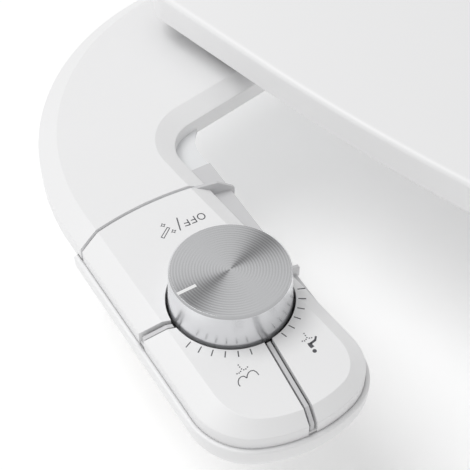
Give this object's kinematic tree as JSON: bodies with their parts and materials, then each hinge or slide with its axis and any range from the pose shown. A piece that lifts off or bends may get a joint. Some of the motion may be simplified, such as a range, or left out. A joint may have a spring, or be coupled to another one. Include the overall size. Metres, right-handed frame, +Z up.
{
  "type": "bidet seat",
  "caption": "Manual bidet seat: slim base under a hinged seat ring and lid, side arm with a turned dial on a control pod, sliding wash nozzles and a water inlet.",
  "frame": {"origin": "midway between the two seat bolts, on the underside of the base where it rests on the bowl rim", "axes": "+Z up, a seated user faces -Y, the control pod is on -X"},
  "size_m": [0.491, 0.5032, 0.106],
  "materials": {
    "white_cover": "satin white ABS, fine moulded sheen",
    "white_lid": "gloss white polypropylene",
    "white_inner": "plain white moulding",
    "groove_rib": "satin white strip",
    "well_grey": "dark grey moulding",
    "turned_aluminium": "concentric turned and brushed",
    "white_inlay": "white filled line",
    "steel": "stainless steel",
    "zinc_steel": "plated screws",
    "soft_rubber": "pale grey soft buffers",
    "dark_rubber": "black seals",
    "valve_ceramic": "lapped ceramic",
    "inlet_brass": "nickel-free brass",
    "tube_clear": "milky tube",
    "grey_acetal": "light grey acetal"
  },
  "bodies": {
    "base": {"base_cover": "white_cover", "base_pan": "white_inner", "adjuster_discs": "grey_acetal", "bolt_washers": "steel", "seat_bolts": "steel", "bolt_caps": "white_cover", "cover_screws": "zinc_steel", "rim_pads": "soft_rubber", "hinge_tower_right": "white_inner", "hinge_tower_left": "white_inner", "hinge_pin_right": "steel", "hinge_pin_left": "steel", "pod_frame": "groove_rib", "pod_tub": "white_cover", "panel_stop": "white_cover", "panel_rear_wash": "white_cover", "panel_front_wash": "white_cover", "tub_screws": "zinc_steel", "dial_well_ring": "well_grey", "valve_body": "grey_acetal", "valve_seat_disc": "valve_ceramic", "valve_bonnet": "inlet_brass", "inlet_fitting": "inlet_brass", "inlet_washer": "dark_rubber", "inlet_lock_nut": "grey_acetal", "water_tube_rear": "tube_clear", "water_tube_front": "tube_clear", "water_tube_clean": "tube_clear", "tube_clips": "grey_acetal", "nozzle_manifold": "grey_acetal", "nozzle_block": "white_inner", "guard_pin": "steel", "nozzle_spring_rear": "steel", "nozzle_spring_front": "steel"},
    "dial": {"dial_cap": "turned_aluminium", "dial_pointer": "white_inlay", "dial_core": "grey_acetal", "valve_stem": "steel", "valve_rotor_disc": "valve_ceramic", "stem_o_rings": "dark_rubber"},
    "nozzle_rear": {"nozzle_tube_rear": "grey_acetal", "nozzle_tip_rear": "grey_acetal", "nozzle_seal_rear": "dark_rubber"},
    "nozzle_front": {"nozzle_tube_front": "grey_acetal", "nozzle_tip_front": "grey_acetal", "nozzle_seal_front": "dark_rubber"},
    "guard": {"nozzle_guard": "white_inner"},
    "seat": {"seat_ring": "white_lid", "seat_bumpers": "soft_rubber", "seat_hinge_arms": "white_inner"},
    "lid": {"lid_shell": "white_lid", "lid_bumpers": "soft_rubber", "lid_hinge_arms": "white_inner"}
  },
  "joints": [
    {"name": "dial_turn", "type": "hinge", "parent": "base", "child": "dial", "pos_m": [-0.264, -0.1315, 0.012], "axis": [0, 0, 1], "range_deg": [-255, 75]},
    {"name": "nozzle_rear_slide", "type": "slide", "parent": "base", "child": "nozzle_rear", "axis": [0, -0.8192, -0.5736], "range_m": [0, 0.04], "stiffness_N_per_m": 40, "springref_m": -0.02, "deforming": ["nozzle_spring_rear"]},
    {"name": "nozzle_front_slide", "type": "slide", "parent": "base", "child": "nozzle_front", "axis": [0, -0.8192, -0.5736], "range_m": [0, 0.04], "stiffness_N_per_m": 40, "springref_m": -0.02, "deforming": ["nozzle_spring_front"]},
    {"name": "guard_hinge", "type": "hinge", "parent": "base", "child": "guard", "pos_m": [0, -0.11471, -0.02309], "axis": [-1, 0, 0], "range_deg": [0, 60]},
    {"name": "seat_hinge", "type": "hinge", "parent": "base", "child": "seat", "pos_m": [0, 0.008, 0.0285], "axis": [1, 0, 0], "range_deg": [-95, 0]},
    {"name": "lid_hinge", "type": "hinge", "parent": "seat", "child": "lid", "pos_m": [0, 0.008, 0.0285], "axis": [-1, 0, 0], "range_deg": [0, 100]}
  ]
}
